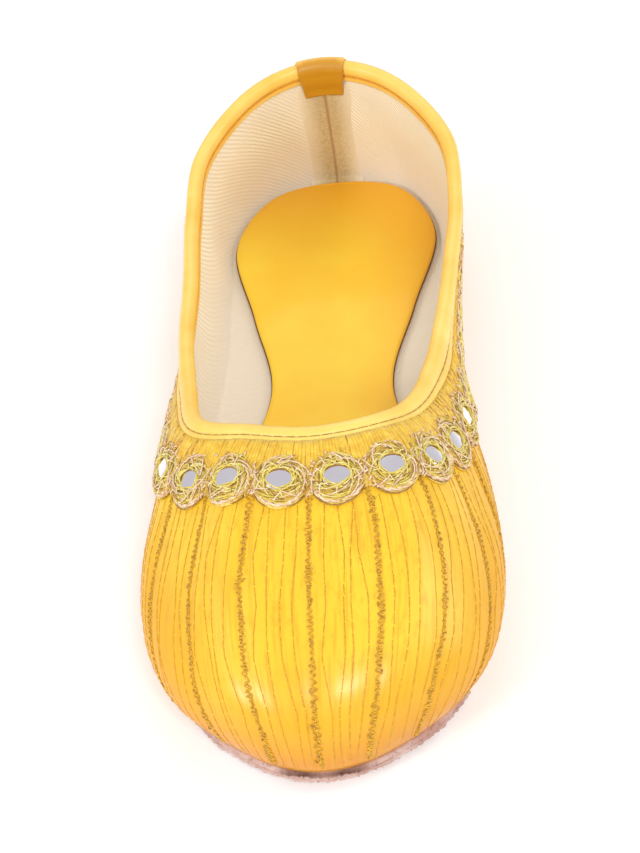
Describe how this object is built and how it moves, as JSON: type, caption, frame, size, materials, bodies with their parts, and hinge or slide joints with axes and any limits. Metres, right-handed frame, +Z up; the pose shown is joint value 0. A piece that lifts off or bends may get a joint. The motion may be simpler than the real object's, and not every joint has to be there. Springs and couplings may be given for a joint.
{
  "type": "mojari",
  "caption": "Flat slip-on mojari of yellow leather with a rounded toe, rolled collar binding, gold thread rows and a scalloped border of small sewn mirrors.",
  "frame": {"origin": "on the floor, under the middle of the shoe's bounding box", "axes": "the toe points along -Y and the heel along +Y, +X is to one side, +Z is up"},
  "size_m": [0.0883, 0.2435, 0.0545],
  "materials": {
    "sole_leather": "raw cut edge, pinkish tan, matt",
    "insole_leather": "smooth yellow sock, satin",
    "upper_leather": "yellow leather with sewn gold rows, satin",
    "binding_leather": "pale yellow leather, satin",
    "strip_leather": "smooth amber yellow leather, satin",
    "border_thread": "gold and amber thread work",
    "mirror_glass": "small round mirrors"
  },
  "bodies": {
    "root": {"outsole": "sole_leather", "insole": "insole_leather", "upper": "upper_leather", "collar_binding": "binding_leather", "heel_strip": "strip_leather", "mirror_border": "border_thread", "heel_border_left": "border_thread", "heel_border_right": "border_thread", "mirror_01": "mirror_glass", "mirror_02": "mirror_glass", "mirror_03": "mirror_glass", "mirror_04": "mirror_glass", "mirror_05": "mirror_glass", "mirror_06": "mirror_glass", "mirror_07": "mirror_glass", "mirror_08": "mirror_glass", "mirror_09": "mirror_glass", "mirror_10": "mirror_glass", "mirror_11": "mirror_glass", "mirror_12": "mirror_glass", "mirror_13": "mirror_glass", "mirror_14": "mirror_glass", "mirror_15": "mirror_glass", "mirror_16": "mirror_glass", "mirror_17": "mirror_glass", "mirror_18": "mirror_glass", "mirror_19": "mirror_glass", "mirror_20": "mirror_glass", "mirror_21": "mirror_glass", "mirror_22": "mirror_glass", "mirror_23": "mirror_glass", "mirror_24": "mirror_glass", "mirror_25": "mirror_glass", "mirror_26": "mirror_glass", "mirror_27": "mirror_glass", "mirror_28": "mirror_glass", "mirror_29": "mirror_glass", "mirror_30": "mirror_glass", "mirror_31": "mirror_glass", "mirror_32": "mirror_glass", "mirror_33": "mirror_glass", "mirror_34": "mirror_glass", "mirror_35": "mirror_glass", "mirror_36": "mirror_glass", "mirror_37": "mirror_glass", "mirror_38": "mirror_glass"}
  },
  "joints": []
}
